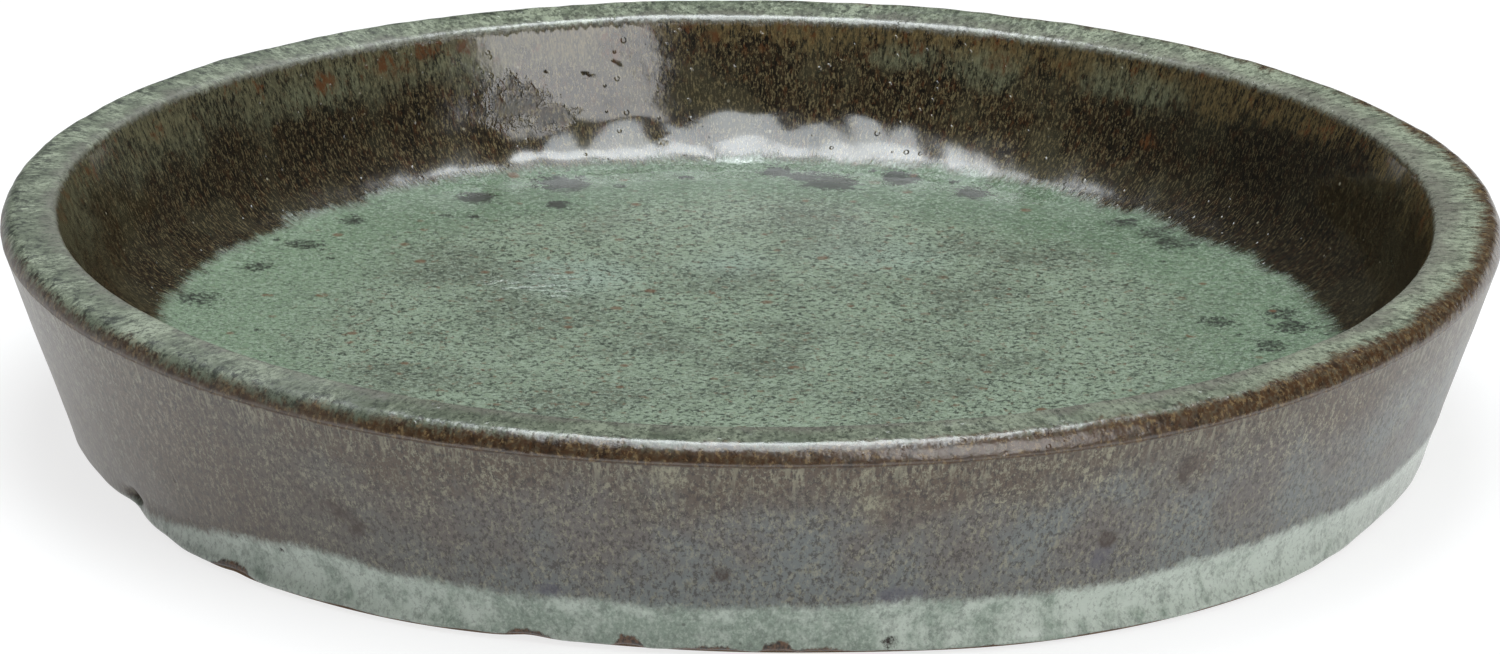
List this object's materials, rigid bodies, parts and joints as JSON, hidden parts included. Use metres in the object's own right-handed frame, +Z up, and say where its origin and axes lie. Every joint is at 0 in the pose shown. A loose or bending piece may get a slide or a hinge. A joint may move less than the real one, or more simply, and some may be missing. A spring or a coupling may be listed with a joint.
{
  "type": "shallow plant bowl",
  "caption": "Shallow round stoneware plant bowl with a flared wall, a thick lip and a flat floor, glazed in celadon green over dark iron brown.",
  "frame": {"origin": "centre of the foot, on the plane the bowl stands on", "axes": "+Z up along the bowl's axis of turning, -Y towards the viewer of the picture"},
  "size_m": [0.3, 0.3, 0.0469],
  "materials": {
    "bare_clay": "bare fired stoneware, gritty and matt",
    "celadon_pool": "glossy pooled celadon with dark blotches and rust specks",
    "dark_iron_glaze": "glossy dark iron glaze with fine vertical streaks",
    "celadon_over_iron": "glossy streaked celadon breaking to rust brown at the edge",
    "mauve_iron_glaze": "satin mauve brown glaze with beige flecks in vertical streaks",
    "pale_celadon": "glossy thin pale celadon with pinholes"
  },
  "bodies": {
    "root": {"clay_body": "bare_clay", "floor_glaze": "celadon_pool", "inner_wall_glaze": "dark_iron_glaze", "rim_glaze": "celadon_over_iron", "outer_wall_glaze": "mauve_iron_glaze", "foot_band_glaze": "pale_celadon"}
  },
  "joints": []
}
